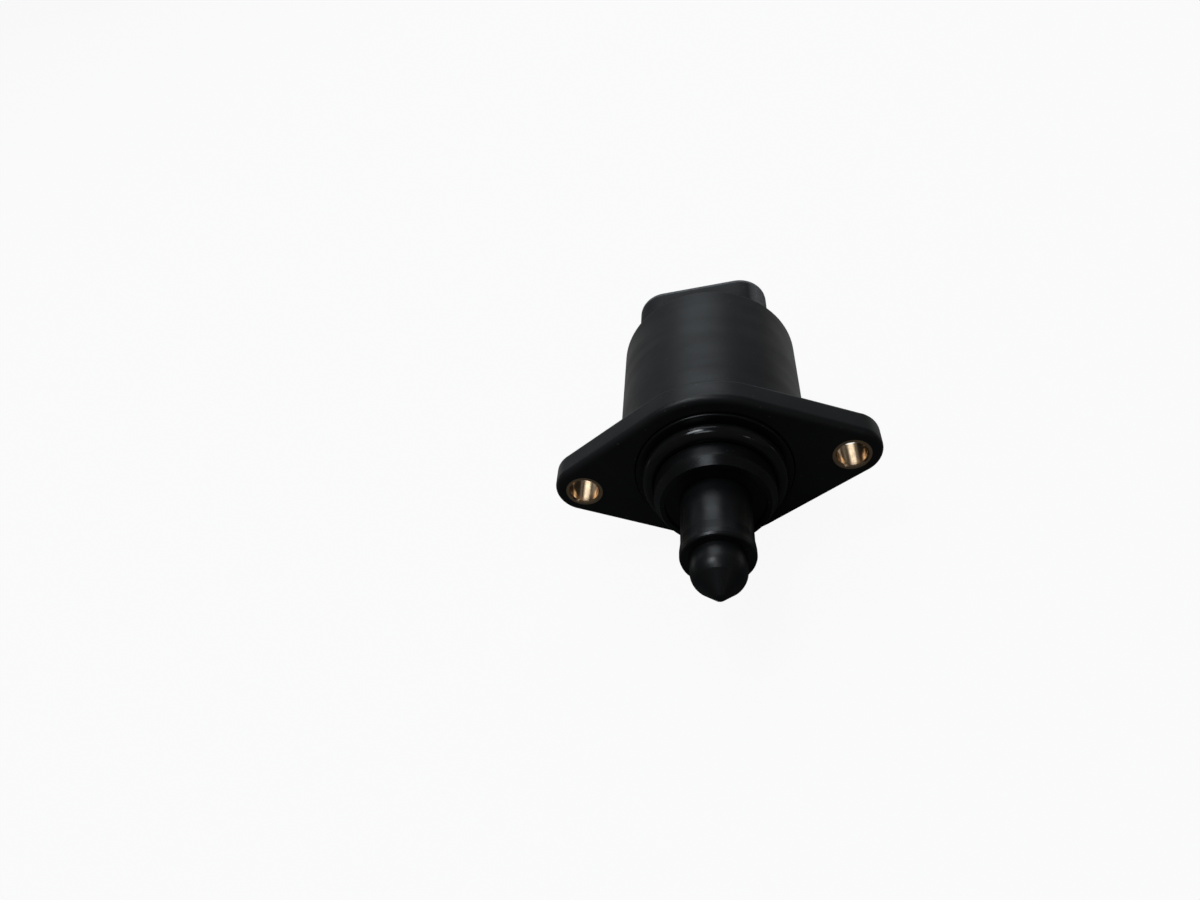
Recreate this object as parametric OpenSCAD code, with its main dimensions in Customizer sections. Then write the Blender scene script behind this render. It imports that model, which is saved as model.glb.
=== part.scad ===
// Idle air control valve: a stepper motor in a plastic housing with a two-hole
// flange, which screws a bullet-nosed pintle in and out of an air passage.
//
// Every piece is drawn along a local axis and then laid down by valve_frame().
// Local coordinates: X runs through the two fixing holes, Y points to the side
// that carries the connector, Z runs from the rear to the tip of the pintle.
// Z = 0 is the flange face that meets the throttle body.

/* [Flange] */
// Distance between the two fixing holes
hole_spacing = 50; // [46:0.5:56]
// Thickness of the flange
flange_thickness = 6.1; // [5:0.1:8]
// Radius of the rounded ear round each hole
ear_radius = 5.6; // [5.2:0.1:7]
// Rounding of the flange edges
flange_round = 1.3; // [0.4:0.1:1.6]
// Step from the side of the body out to the middle of the flange
flange_step = 0.05; // [0.05:0.05:1]

/* [Bushes] */
// Outside diameter of the brass compression bushes
bush_outer_d = 7.0; // [6.4:0.1:7.8]
// Bore of the brass bushes, clear of the fixing screw
bush_bore_d = 5.4; // [4.6:0.1:5.6]
// Chamfer at both ends of a bush bore
bush_chamfer = 0.25; // [0.1:0.05:0.3]

/* [Body] */
// Outside diameter of the round body
body_d = 35.6; // [34.5:0.1:38]
// Wall of the body round the motor
body_wall = 3.2; // [2.6:0.1:3.6]
// Thickness of the closed rear wall of the body
rear_wall = 2.4; // [1.6:0.1:4]
// Room behind the motor for the coil wires
lead_room = 1.7; // [1.2:0.1:4]
// Rounding of the rear edge of the body
body_edge_round = 0.4; // [0.2:0.1:1]

/* [Connector] */
// Straight part of the oval shroud, between its two round ends
shroud_straight = 15.4; // [13:0.1:18]
// Height of the oval shroud
shroud_height = 11.8; // [11:0.1:14]
// Distance of the shroud from the axis of the valve
shroud_offset = 6.7; // [0:0.1:7]
// Length of the shroud behind the body
shroud_length = 10.9; // [8:0.1:14]
// Wall of the shroud
shroud_wall = 1.3; // [1:0.1:1.6]
// Rounding of the rim of the shroud
shroud_round = 0.6; // [0.2:0.1:0.6]
// Depth of the socket from the rim of the shroud
socket_depth = 10.5; // [7:0.1:12]
// Number of terminal pins
pin_count = 4; // [2:1:4]
// Distance between neighbouring pins
pin_pitch = 4.5; // [3:0.1:5]
// Width of a pin blade
pin_width = 1.2; // [0.6:0.1:1.5]
// Thickness of a pin blade
pin_thickness = 0.6; // [0.4:0.1:0.8]
// Length of the pins above the socket floor
pin_length = 7.6; // [5:0.1:7.8]

/* [Front cap] */
// Height of the cap above the flange face
cap_step = 0.5; // [0.2:0.1:1]
// Thickness of the disc of the cap
cap_disc = 4; // [3:0.1:5]
// Wall of the guide bush round the stem
guide_wall = 2.16; // [1.8:0.02:2.6]
// Wall of the neck that enters the throttle body, round the guide bush
neck_wall = 2.5; // [2.2:0.1:3.2]
// Distance from the flange face to the front of the neck
neck_length = 8.4; // [8:0.1:12]
// Length of the cone that leads the neck into its bore
neck_lead = 1.5; // [0.8:0.1:2.4]
// Radius lost along the lead-in cone
neck_taper = 1.1; // [0.4:0.1:1.4]
// Depth of the recess in the front of the neck
mouth_depth = 0.6; // [0.3:0.1:1]
// Wall of the skirt that clamps the motor
skirt_wall = 1.4; // [1:0.1:2]
// Thickness of the O-ring cord
o_ring_section = 3.3; // [2.6:0.1:3.6]
// Depth of the groove under the land of the neck
groove_depth = 0.95; // [0.6:0.05:1.3]

/* [Pintle] */
// Diameter of the sliding stem
stem_d = 12.78; // [11:0.02:13]
// Distance from the flange face to the end of the stem, as shown
stem_reach = 17.8; // [16:0.1:22]
// Length of the stem, inner end included
stem_length = 16.8; // [15:0.1:18]
// Flare of the lip beyond the stem
lip_flare = 0.21; // [0.1:0.01:1]
// Length of the lip collar
lip_length = 3.5; // [2.5:0.1:5]
// Diameter of the bullet nose
nose_d = 9.8; // [8:0.1:11]
// Length of the straight part of the nose
nose_straight = 2.6; // [2:0.1:6]
// Radius of the shoulder arc between the straight part and the cone of the nose
shoulder_radius = 3.9; // [3.4:0.1:6]
// Length of the shoulder arc along the nose
shoulder_length = 2.4; // [1.6:0.1:2.8]
// Angle between the cone of the nose and its axis
cone_angle = 45; // [38:1:52]
// Radius of the tip of the nose
tip_radius = 1.6; // [1:0.1:2]
// Travel back into the body from the position shown
travel_in = 8; // [6:0.5:9]
// Travel outwards from the position shown
travel_out = 1; // [0.5:0.5:2]

/* [Motor] */
// Length of one of the two stator stacks
stack_length = 8.7; // [8:0.1:11]
// Thickness of the sheet steel of the stator
sheet = 0.8; // [0.6:0.1:1]
// Air gap between the magnet and the ring of claw poles
air_gap = 0.3; // [0.2:0.05:0.5]
// Claw poles on each cup or pole plate
claw_count = 6; // [4:1:8]
// Wall of the ring magnet
magnet_wall = 2.1; // [1.6:0.1:2.4]
// Wall of the rotor hub between the bearing shoulder and the magnet
hub_wall = 0.55; // [0.4:0.05:0.8]
// Diameter of the lead screw
screw_d = 4; // [3:0.1:4.2]
// Length of the thread in the nut
nut_length = 8; // [5:0.5:10]
// Wall of the nut round the screw
nut_wall = 1.6; // [1.2:0.1:1.8]

/* [Bearings] */
// Bore of the ball bearing
bearing_bore_d = 8; // [7.8:0.1:8.4]
// Wall of a bearing race
race_wall = 1.1; // [0.9:0.05:1.2]
// Gap between the two races
race_gap = 1.8; // [1.6:0.1:2]
// Depth of the ball groove in a race
ball_groove = 0.25; // [0.15:0.05:0.35]
// Distance from the face of the bearing to the ball cage
cage_inset = 0.6; // [0.4:0.1:1]
// Number of balls
ball_count = 9; // [7:1:10]
// Diameter of the rear journal of the rotor
journal_d = 6; // [5.4:0.1:6.4]
// Length of the rear bush
rear_bush_length = 2.6; // [2:0.1:4]

/* [Fits] */
// Radial clearance of a shaft that turns or slides in its bore
running_gap = 0.05; // [0.02:0.01:0.09]
// Clearance between pieces that pass without touching
free_gap = 0.2; // [0.1:0.05:0.3]
// Axial room left at the end of a travel
end_gap = 0.6; // [0.4:0.1:1]

/* [Hidden] */

$fn = 96;
// Extra reach of a cutter past the face that it opens
cut = 1;
// Small overlap of two volumes of one piece
bite = 0.2;

// Flange outline: tangent lines join the body circle and the ear circles
body_r = body_d / 2;
flange_r = body_r + flange_step;
ear_x = hole_spacing / 2;
tangent_angle = acos((flange_r - ear_radius) / ear_x);
tangent_length = sqrt(pow(ear_x, 2) - pow(flange_r - ear_radius, 2));
// The strips stay a hair inside the discs all round, so that they meet them cleanly
strip_inset = 0.01;
strip_thickness = flange_thickness - 2 * strip_inset;

// Pintle, from the inner end of the stem to the tip
stem_r = stem_d / 2;
stem_inner_z = stem_reach - stem_length;
lip_front_z = stem_reach + lip_length;
nose_end_z = lip_front_z + nose_straight;
nose_r = nose_d / 2;
lug_length = 3;
lug_width = 2;
lug_height = 1;
lug_r = stem_r + lug_height;
spigot_r = 4.2;
spigot_length = 2.5;
screw_head_r = 3.2;
core_wall = 1.39;
core_inner_r = screw_head_r + free_gap;
core_outer_r = stem_r - core_wall;
core_depth = 7;
screw_head_length = 2;
screw_cover = 3.3;
screw_neck = 2.5;
screw_front_z = stem_reach - screw_cover;
screw_head_z = screw_front_z - screw_neck - screw_head_length;
flare_share = 0.55;
lip_bevel = 0.4;
lip_land = 0.6;
lip_break = 0.15;

// The shoulder arc leaves the straight part smoothly and ends in a faint crease,
// where the cone starts. The cone trims the tip circle by a hair all round.
crease_z = nose_end_z + shoulder_length;
crease_r = nose_r - shoulder_radius + sqrt(pow(shoulder_radius, 2) - pow(shoulder_length, 2));
cone_apex_z = crease_z + crease_r / tan(cone_angle);
cone_base_r = (cone_apex_z - nose_end_z) * tan(cone_angle);
tip_trim = 0.02;
tip_centre_z = cone_apex_z - (tip_radius - tip_trim) / sin(cone_angle);
cone_end_z = tip_centre_z + (tip_radius - tip_trim) * sin(cone_angle);

// Guide bush: two keyways hold the stem from turning and stop it at both ends
guide_bore_r = stem_r + running_gap;
guide_outer_r = guide_bore_r + guide_wall;
keyway_r = lug_r + free_gap / 2;
keyway_width = lug_width + free_gap;
keyway_end_z = stem_inner_z + lug_length + travel_out + free_gap;
guide_rear_z = stem_inner_z - travel_in - free_gap;
guide_front_z = neck_length - mouth_depth;

// Ball bearing, from its bore outwards
bearing_bore_r = bearing_bore_d / 2;
ball_circle_r = bearing_bore_r + race_wall + race_gap / 2;
seat_r = bearing_bore_r + 2 * race_wall + race_gap;
ball_r = race_gap / 2 + ball_groove;
cage_rim = 0.2;
cage_wall = 1;
cage_width = 2 * (ball_r + running_gap + cage_rim);
bearing_width = cage_width + 2 * cage_inset;

// Bearing seat in the front plate of the motor
plate_lip = 0.6;
washer_room = 0.5;
washer_sheet = 0.2;
washer_width = 0.9;
plate_lip_width = 1;
plate_front_z = guide_rear_z - free_gap;
bearing_front_z = plate_front_z - plate_lip - washer_room;
bearing_rear_z = bearing_front_z - bearing_width;
stator_front_z = bearing_rear_z;
plate_disc_front_z = stator_front_z + sheet;

// Stator: two equal stacks, back to back at the middle plane
stator_gap = 0.1;
cap_r = body_r - body_wall;
stator_r = cap_r - stator_gap;
shoulder_step = 0.65;
race_shoulder_r = bearing_bore_r + shoulder_step;
hub_r = race_shoulder_r + hub_wall;
magnet_r = hub_r + magnet_wall;
pole_r = magnet_r + air_gap;
stator_middle_z = stator_front_z - stack_length;
stator_rear_z = stator_middle_z - stack_length;
claw_gap = 0.6;
claw_length = stack_length - 2 * sheet - claw_gap;
claw_root = 3.4;
claw_tip = 1.9;
bobbin_inner_r = pole_r + sheet + stator_gap;
bobbin_wall = 0.7;
bobbin_flange = 0.6;
bobbin_gap = 0.3;
bobbin_outer_r = stator_r - sheet - bobbin_gap;
winding_inset = 0.4;
winding_outer_r = bobbin_outer_r - winding_inset;
outlet_width = 9;
outlet_height = 1.4;
outlet_room = 0.5;

// Rear end of the motor and of the cavity behind it
rear_plate_z = stator_rear_z - sheet;
rear_plate_inset = 0.3;
rear_plate_r = stator_r - rear_plate_inset;
cavity_rear_z = rear_plate_z - lead_room;
body_rear_z = cavity_rear_z - rear_wall;
rear_bush_wall = 1.45;
rear_bush_bore_r = journal_d / 2 + running_gap;
rear_bush_outer_r = rear_bush_bore_r + rear_bush_wall;
rear_bush_front_z = rear_plate_z + rear_bush_length;

// Rotor: hub, magnet, nut and screw
hub_rear_z = rear_plate_z - end_gap;
hub_shoulder_z = rear_bush_front_z + free_gap;
hub_front_z = bearing_front_z - stator_gap;
hub_rim = 0.8;
magnet_step = 0.4;
magnet_setback = 1.4;
magnet_rear_z = hub_shoulder_z + magnet_step;
magnet_front_z = stator_front_z - magnet_setback;
screw_r = screw_d / 2;
nut_r = screw_r + nut_wall;
screw_spare = 0.4;
nut_overrun = travel_out + screw_spare;
nut_rear_z = cavity_rear_z + end_gap + travel_in + nut_overrun;
screw_rear_z = nut_rear_z - nut_overrun;
screw_chamfer = 0.4;

// Middle plane of the ball bearing
bearing_mid_z = (bearing_front_z + bearing_rear_z) / 2;

// Neck, groove and skirt of the front cap
cap_rear_z = cap_step - cap_disc;
neck_r = guide_outer_r + neck_wall;
mouth_step = 0.6;
mouth_r = guide_outer_r + mouth_step;
groove_r = neck_r - groove_depth;
ring_r = o_ring_section / 2;
groove_front_z = cap_step + o_ring_section + stator_gap;
guide_tube_wall = 1.5;
guide_tail = 1;
guide_tube_rear_z = guide_rear_z + guide_tail;
cap_round = 0.3;
rib_count = 6;
rib_width = 1.2;
rib_height = 2;

// Connector: shroud, socket and pins
shroud_end_r = shroud_height / 2;
shroud_end_x = shroud_straight / 2;
shroud_rear_z = body_rear_z - shroud_length;
socket_r = shroud_end_r - shroud_wall;
socket_floor_z = shroud_rear_z + socket_depth;
pin_rear_z = socket_floor_z - pin_length;
pin_front_z = cavity_rear_z + lead_room / 2;
pin_bevel = 0.2;
key_width = 1.6;
key_height = 0.8;
key_setback = 1;
latch_width = 5;
latch_height = 1.4;
latch_length = 3.2;
latch_slope = 2.2;
latch_setback = 2.2;

// Wire channel beside the stator, and the stops that the motor rests on
channel_depth = 1.2;
channel_reach = 2.5;
channel_r = cap_r + channel_depth;
channel_front_z = stator_middle_z + channel_reach;
stop_count = 3;
stop_turn = 30;
stop_width = 4;
stop_depth = 2;
mouth_chamfer = 0.25;
mouth_over = 0.05;

// Lays the local axis down: +Z becomes -Y and +Y becomes +Z
module valve_frame() {
    rotate([90, 0, 0])
        children();
}

// Round bar from z_rear to z_front
module bar(r, z_rear, z_front) {
    translate([0, 0, z_rear])
        cylinder(r = r, h = z_front - z_rear);
}

// Ring from z_rear to z_front
module ring(r_outer, r_inner, z_rear, z_front) {
    difference() {
        bar(r_outer, z_rear, z_front);
        bar(r_inner, z_rear - cut, z_front + cut);
    }
}

// Profile of a turned disc whose outer edges are rounded by arcs
module turned_profile(r, z_rear, z_front, round_rear, round_front) {
    translate([0, z_rear])
        square([r - round_rear, round_rear + bite]);
    translate([0, z_front - round_front - bite])
        square([r - round_front, round_front + bite]);
    translate([0, z_rear + round_rear])
        square([r, z_front - z_rear - round_rear - round_front]);
    if (round_rear > 0)
        translate([r - round_rear, z_rear + round_rear])
            circle(r = round_rear);
    if (round_front > 0)
        translate([r - round_front, z_front - round_front])
            circle(r = round_front);
}

// Disc with rounded edges, or a sector of one between two directions
module turned_disc(r, z_rear, z_front, round_rear, round_front, from = 0, to = 360) {
    rotate([0, 0, from])
        rotate_extrude(angle = to - from)
            turned_profile(r, z_rear, z_front, round_rear, round_front);
}

// Strip of the flange beside one tangent line, with two rounded edges
module edge_profile() {
    depth = 3 * flange_round;
    translate([-depth, 0])
        square([depth - flange_round, strip_thickness]);
    translate([-depth, flange_round])
        square([depth, strip_thickness - 2 * flange_round]);
    for (y = [flange_round, strip_thickness - flange_round])
        translate([-flange_round, y])
            circle(r = flange_round);
}

module flange_edge() {
    rotate([0, 0, tangent_angle])
        translate([flange_r - strip_inset, 0, strip_inset - flange_thickness])
            rotate([90, 0, 0])
                linear_extrude(height = tangent_length)
                    edge_profile();
}

// Middle of the flange, between the strips and the discs
module flange_core() {
    inset = 2 * flange_round;
    direction = [cos(tangent_angle), sin(tangent_angle)];
    at_body = (flange_r - inset) * direction;
    at_ear = [ear_x, 0] + (ear_radius - inset) * direction;
    quarter = [at_body, at_ear];
    translate([0, 0, -flange_thickness])
        linear_extrude(height = flange_thickness)
            polygon([
                quarter[0], quarter[1],
                [quarter[1][0], -quarter[1][1]], [quarter[0][0], -quarter[0][1]],
                [-quarter[0][0], -quarter[0][1]], [-quarter[1][0], -quarter[1][1]],
                [-quarter[1][0], quarter[1][1]], [-quarter[0][0], quarter[0][1]]
            ]);
}

// Flange: three turned discs, joined by strips along the tangent lines
module flange() {
    flange_core();
    turned_disc(flange_r, -flange_thickness, 0, flange_round, flange_round);
    for (side = [-1, 1])
        translate([side * ear_x, 0, 0])
            turned_disc(ear_radius, -flange_thickness, 0, flange_round, flange_round);
    for (flip_x = [0, 1], flip_y = [0, 1])
        mirror([flip_x, 0, 0])
            mirror([0, flip_y, 0])
                flange_edge();
}

// Oval bar of the connector, with a rounded rear rim
module shroud_profile() {
    straight = body_rear_z - shroud_rear_z + bite;
    translate([-shroud_end_r + shroud_round, 0])
        square([shroud_height - 2 * shroud_round, straight]);
    translate([-shroud_end_r, shroud_round])
        square([shroud_height, straight - shroud_round]);
    for (side = [-1, 1])
        translate([side * (shroud_end_r - shroud_round), shroud_round])
            circle(r = shroud_round);
}

module shroud_bar() {
    for (turn = [0, 180])
        translate([0, shroud_offset, 0])
            rotate([0, 0, turn])
                translate([shroud_end_x, 0, 0])
                    turned_disc(shroud_end_r, shroud_rear_z, body_rear_z + bite,
                        shroud_round, 0, -90, 90);
    translate([-shroud_end_x, shroud_offset, shroud_rear_z])
        rotate([90, 0, 90])
            linear_extrude(height = shroud_straight)
                shroud_profile();
}

// Space inside the shroud
module socket() {
    for (side = [-1, 1])
        translate([side * shroud_end_x, shroud_offset, 0])
            bar(socket_r, shroud_rear_z - cut, socket_floor_z);
    translate([-shroud_end_x, shroud_offset - socket_r, shroud_rear_z - cut])
        cube([shroud_straight, 2 * socket_r, socket_floor_z - shroud_rear_z + cut]);
}

// Ribs at the two ends of the socket, which let the plug in one way round
module socket_keys() {
    for (side = [-1, 1])
        translate([side * (shroud_end_x + socket_r), shroud_offset - key_width, 0])
            translate([-key_height, -key_width / 2, shroud_rear_z + key_setback])
                cube([2 * key_height, key_width, socket_depth - key_setback + bite]);
}

// Ramp that the latch of the plug snaps over
module latch_ramp() {
    latch_rear_z = shroud_rear_z + latch_setback;
    translate([-latch_width / 2, shroud_offset - shroud_end_r + bite, latch_rear_z])
        rotate([90, 0, 90])
            linear_extrude(height = latch_width)
                polygon([
                    [0, 0], [-bite, 0], [-bite - latch_height, latch_slope],
                    [-bite - latch_height, latch_length], [0, latch_length]
                ]);
}

// Blade of one terminal pin, with a bevelled rear tip
module pin_blade() {
    translate([-pin_width / 2, -pin_thickness / 2, pin_rear_z + pin_bevel])
        cube([pin_width, pin_thickness, pin_front_z - pin_rear_z - pin_bevel]);
    translate([-pin_width / 2 + pin_bevel, -pin_thickness / 2, pin_rear_z])
        cube([pin_width - 2 * pin_bevel, pin_thickness, pin_bevel]);
}

module pin_row() {
    for (i = [0 : pin_count - 1])
        translate([(i - (pin_count - 1) / 2) * pin_pitch, shroud_offset, 0])
            pin_blade();
}

module housing() {
    color("#26282a")
        valve_frame()
            difference() {
                union() {
                    turned_disc(body_r, body_rear_z, -flange_thickness / 2, body_edge_round, 0);
                    flange();
                    shroud_bar();
                    latch_ramp();
                }
                difference() {
                    bar(cap_r, cavity_rear_z, cut);
                    motor_stops();
                }
                cavity_mouth();
                wire_channel();
                for (side = [-1, 1])
                    translate([side * ear_x, 0, 0])
                        bar(bush_outer_d / 2, -flange_thickness - cut, cut);
                difference() {
                    socket();
                    socket_keys();
                }
                pin_row();
            }
}

// Chamfer that leads the cap into the cavity
module cavity_mouth() {
    translate([0, 0, -mouth_chamfer])
        cylinder(r1 = cap_r, r2 = cap_r + mouth_chamfer + mouth_over,
            h = mouth_chamfer + mouth_over);
}

// Channel for the coil wires, from the coil outlets to the pins
module wire_channel() {
    channel_width = outlet_width + 2 * outlet_room;
    intersection() {
        bar(channel_r, cavity_rear_z, channel_front_z);
        translate([-channel_width / 2, 0, cavity_rear_z])
            cube([channel_width, body_r, channel_front_z - cavity_rear_z]);
    }
}

// Pads on the rear wall that hold the motor forward against the cap
module motor_stops() {
    intersection() {
        ring(cap_r + cut, cap_r - stop_depth, cavity_rear_z - cut, rear_plate_z);
        for (i = [0 : stop_count - 1])
            rotate([0, 0, stop_turn + i * 360 / stop_count])
                translate([0, -stop_width / 2, cavity_rear_z - cut])
                    cube([cap_r + cut, stop_width, rear_plate_z - cavity_rear_z + cut]);
    }
}

// Brass tube that takes the clamping force of a fixing screw
module compression_bush(side) {
    bore_r = bush_bore_d / 2;
    color("#c9a052")
        valve_frame()
            translate([side * ear_x, 0, -flange_thickness])
                difference() {
                    cylinder(d = bush_outer_d, h = flange_thickness);
                    translate([0, 0, -cut])
                        cylinder(r = bore_r, h = flange_thickness + 2 * cut);
                    for (end = [0, 1])
                        translate([0, 0, end * flange_thickness])
                            mirror([0, 0, end])
                                cylinder(r1 = bore_r + bush_chamfer, r2 = bore_r, h = bush_chamfer);
                }
}

module terminal_pins() {
    color("#c8c9c4")
        valve_frame()
            pin_row();
}

// Half outline of the neck: a land, then a cone that leads it into its bore
module neck_profile() {
    polygon([
        [0, groove_front_z], [neck_r, groove_front_z], [neck_r, neck_length - neck_lead],
        [neck_r - neck_taper, neck_length], [0, neck_length]
    ]);
}

// Neck, disc and skirt, turned in one piece with the groove of the O-ring
module cap_body() {
    difference() {
        union() {
            turned_disc(cap_r, cap_rear_z, cap_step, 0, cap_round);
            rotate_extrude()
                neck_profile();
            bar(groove_r, cap_step - bite, groove_front_z + bite);
            bar(guide_outer_r + guide_tube_wall, guide_tube_rear_z, cap_rear_z + bite);
            ring(cap_r, cap_r - skirt_wall, plate_disc_front_z, cap_rear_z + bite);
        }
        bar(guide_outer_r, guide_tube_rear_z - cut, guide_front_z + bite);
        bar(mouth_r, guide_front_z, neck_length + cut);
    }
}

module front_cap() {
    rib_start = guide_outer_r + guide_tube_wall - bite;
    rib_end = cap_r - skirt_wall + bite;
    color("#1e2022")
        valve_frame() {
            cap_body();
            for (i = [0 : rib_count - 1])
                rotate([0, 0, i * 360 / rib_count])
                    translate([rib_start, -rib_width / 2, cap_rear_z - rib_height])
                        cube([rib_end - rib_start, rib_width, rib_height + bite]);
        }
}

module o_ring() {
    color("#101112")
        valve_frame()
            rotate_extrude()
                translate([groove_r + ring_r, cap_step + ring_r])
                    circle(r = ring_r);
}

module guide_bush() {
    color("#141516")
        valve_frame()
            difference() {
                ring(guide_outer_r, guide_bore_r, guide_rear_z, guide_front_z);
                for (turn = [0, 180])
                    rotate([0, 0, turn])
                        intersection() {
                            bar(keyway_r, guide_rear_z - cut, keyway_end_z);
                            translate([0, -keyway_width / 2, guide_rear_z - cut])
                                cube([keyway_r, keyway_width, keyway_end_z - guide_rear_z + cut]);
                        }
            }
}

// Half outline of the bullet: straight part, shoulder arc, cone and tip arc
module bullet_profile() {
    translate([0, lip_front_z - bite])
        square([nose_r, nose_straight + bite]);
    intersection() {
        union() {
            translate([nose_r - shoulder_radius, nose_end_z])
                circle(r = shoulder_radius);
            translate([0, nose_end_z])
                square([crease_r - bite, cone_end_z - nose_end_z]);
            translate([0, tip_centre_z])
                circle(r = tip_radius);
        }
        polygon([[0, nose_end_z], [cone_base_r, nose_end_z], [0, cone_apex_z]]);
    }
}

// Half outline of the collar: it flares to the lip and turns in at the front
module collar_profile() {
    lip_r = stem_r + lip_flare;
    flare_end_z = stem_reach + flare_share * lip_length;
    polygon([
        [0, stem_reach], [stem_r, stem_reach], [lip_r, flare_end_z],
        [lip_r, lip_front_z - lip_land], [lip_r - lip_break, lip_front_z - lip_break],
        [lip_r - lip_bevel, lip_front_z], [0, lip_front_z]
    ]);
}

module pintle_nose() {
    color("#2b2d2f")
        valve_frame()
            difference() {
                rotate_extrude() {
                    collar_profile();
                    bullet_profile();
                }
                bar(spigot_r, stem_reach - cut, stem_reach + spigot_length);
            }
}

// Solid shape of the screw as the stem is moulded round it
module screw_shank() {
    bar(screw_r, screw_rear_z + screw_chamfer, screw_front_z);
    bar(screw_head_r, screw_head_z, screw_head_z + screw_head_length);
    translate([0, 0, screw_rear_z])
        cylinder(r1 = screw_r - screw_chamfer, r2 = screw_r, h = screw_chamfer);
}

module pintle_stem() {
    color("#2b2d2f")
        valve_frame()
            difference() {
                union() {
                    bar(stem_r, stem_inner_z, stem_reach);
                    bar(spigot_r, stem_reach - bite, stem_reach + spigot_length);
                    intersection() {
                        bar(lug_r, stem_inner_z, stem_inner_z + lug_length);
                        translate([-lug_r, -lug_width / 2, stem_inner_z])
                            cube([2 * lug_r, lug_width, lug_length]);
                    }
                }
                ring(core_outer_r, core_inner_r, stem_inner_z - cut, stem_inner_z + core_depth);
                screw_shank();
            }
}

module lead_screw() {
    color("#b4b6b8")
        valve_frame()
            screw_shank();
}

module thread_nut() {
    color("#b98f45")
        valve_frame()
            ring(nut_r, screw_r + running_gap, nut_rear_z, nut_rear_z + nut_length);
}

module rotor_hub() {
    color("#d9d6c8")
        valve_frame()
            difference() {
                union() {
                    bar(journal_d / 2, hub_rear_z, hub_shoulder_z + bite);
                    bar(hub_r + hub_rim, hub_shoulder_z, magnet_rear_z);
                    bar(hub_r, hub_shoulder_z, magnet_front_z + magnet_step);
                    bar(race_shoulder_r, hub_shoulder_z, bearing_rear_z);
                    bar(bearing_bore_r, bearing_rear_z - bite, hub_front_z);
                }
                bar(screw_r + free_gap, hub_rear_z - cut, hub_front_z + cut);
                bar(nut_r, nut_rear_z, nut_rear_z + nut_length);
            }
}

module rotor_magnet() {
    color("#4b4742")
        valve_frame()
            ring(magnet_r, hub_r, magnet_rear_z, magnet_front_z);
}

// Race of the ball bearing, with the groove that the balls run in
module bearing_race(r_outer, r_inner) {
    color("#c2c5c8")
        valve_frame()
            difference() {
                ring(r_outer, r_inner, bearing_rear_z, bearing_front_z);
                rotate_extrude()
                    translate([ball_circle_r, bearing_mid_z])
                        circle(r = ball_r + running_gap);
            }
}

module bearing_inner_race() {
    bearing_race(bearing_bore_r + race_wall, bearing_bore_r);
}

module bearing_outer_race() {
    bearing_race(seat_r, seat_r - race_wall);
}

module bearing_balls() {
    color("#d5d7da")
        valve_frame()
            for (i = [0 : ball_count - 1])
                rotate([0, 0, i * 360 / ball_count])
                    translate([ball_circle_r, 0, bearing_mid_z])
                        sphere(r = ball_r);
}

module bearing_cage() {
    color("#a88b52")
        valve_frame()
            difference() {
                ring(ball_circle_r + cage_wall / 2, ball_circle_r - cage_wall / 2,
                    bearing_mid_z - cage_width / 2, bearing_mid_z + cage_width / 2);
                for (i = [0 : ball_count - 1])
                    rotate([0, 0, i * 360 / ball_count])
                        translate([ball_circle_r - cage_wall, 0, bearing_mid_z])
                            rotate([0, 90, 0])
                                cylinder(r = ball_r + running_gap, h = 2 * cage_wall);
            }
}

// Cone washer that presses the outer race to the rear
module spring_washer() {
    near_r = seat_r - washer_width;
    far_r = seat_r - free_gap / 2;
    color("#9aa0a6")
        valve_frame()
            rotate_extrude()
                polygon([
                    [far_r, bearing_front_z], [far_r, bearing_front_z + washer_sheet],
                    [near_r, bearing_front_z + washer_room],
                    [near_r, bearing_front_z + washer_room - washer_sheet]
                ]);
}

module front_plate() {
    color("#a9adb0")
        valve_frame() {
            ring(stator_r, seat_r, stator_front_z, plate_disc_front_z);
            ring(seat_r + sheet, seat_r, stator_front_z, plate_front_z);
            ring(seat_r + sheet, seat_r - plate_lip_width, plate_front_z - plate_lip,
                plate_front_z);
        }
}

module rear_plate() {
    color("#a9adb0")
        valve_frame()
            ring(rear_plate_r, rear_bush_outer_r, rear_plate_z, stator_rear_z);
}

module rear_bush() {
    color("#a5793a")
        valve_frame()
            ring(rear_bush_outer_r, rear_bush_bore_r, rear_plate_z, rear_bush_front_z);
}

// Ring of claw poles that taper from z = 0 to their tips
module claw_ring() {
    intersection() {
        ring(pole_r + sheet, pole_r, 0, sheet + claw_length);
        for (i = [0 : claw_count - 1])
            rotate([0, 0, i * 360 / claw_count])
                translate([pole_r - cut, 0, 0])
                    rotate([90, 0, 90])
                        linear_extrude(height = sheet + 2 * cut)
                            polygon([
                                [-claw_root / 2, 0], [claw_root / 2, 0],
                                [claw_tip / 2, sheet + claw_length],
                                [-claw_tip / 2, sheet + claw_length]
                            ]);
    }
}

// Stator cup: end disc, outer wall with the coil outlet, and claw poles.
// Drawn with its end disc at z = 0 and its open side towards +Z.
module stator_cup() {
    difference() {
        union() {
            ring(stator_r, pole_r, 0, sheet);
            ring(stator_r, stator_r - sheet, 0, stack_length);
        }
        translate([-outlet_width / 2 - free_gap, 0, stack_length - sheet - outlet_height - free_gap])
            cube([outlet_width + 2 * free_gap, stator_r + cut, stack_length]);
    }
    claw_ring();
}

// Pole plate: flat disc with claw poles that reach between those of the cup
module pole_plate() {
    translate([0, 0, stack_length])
        mirror([0, 0, 1])
            rotate([0, 0, 180 / claw_count]) {
                ring(stator_r - sheet, pole_r, 0, sheet);
                claw_ring();
            }
}

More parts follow.
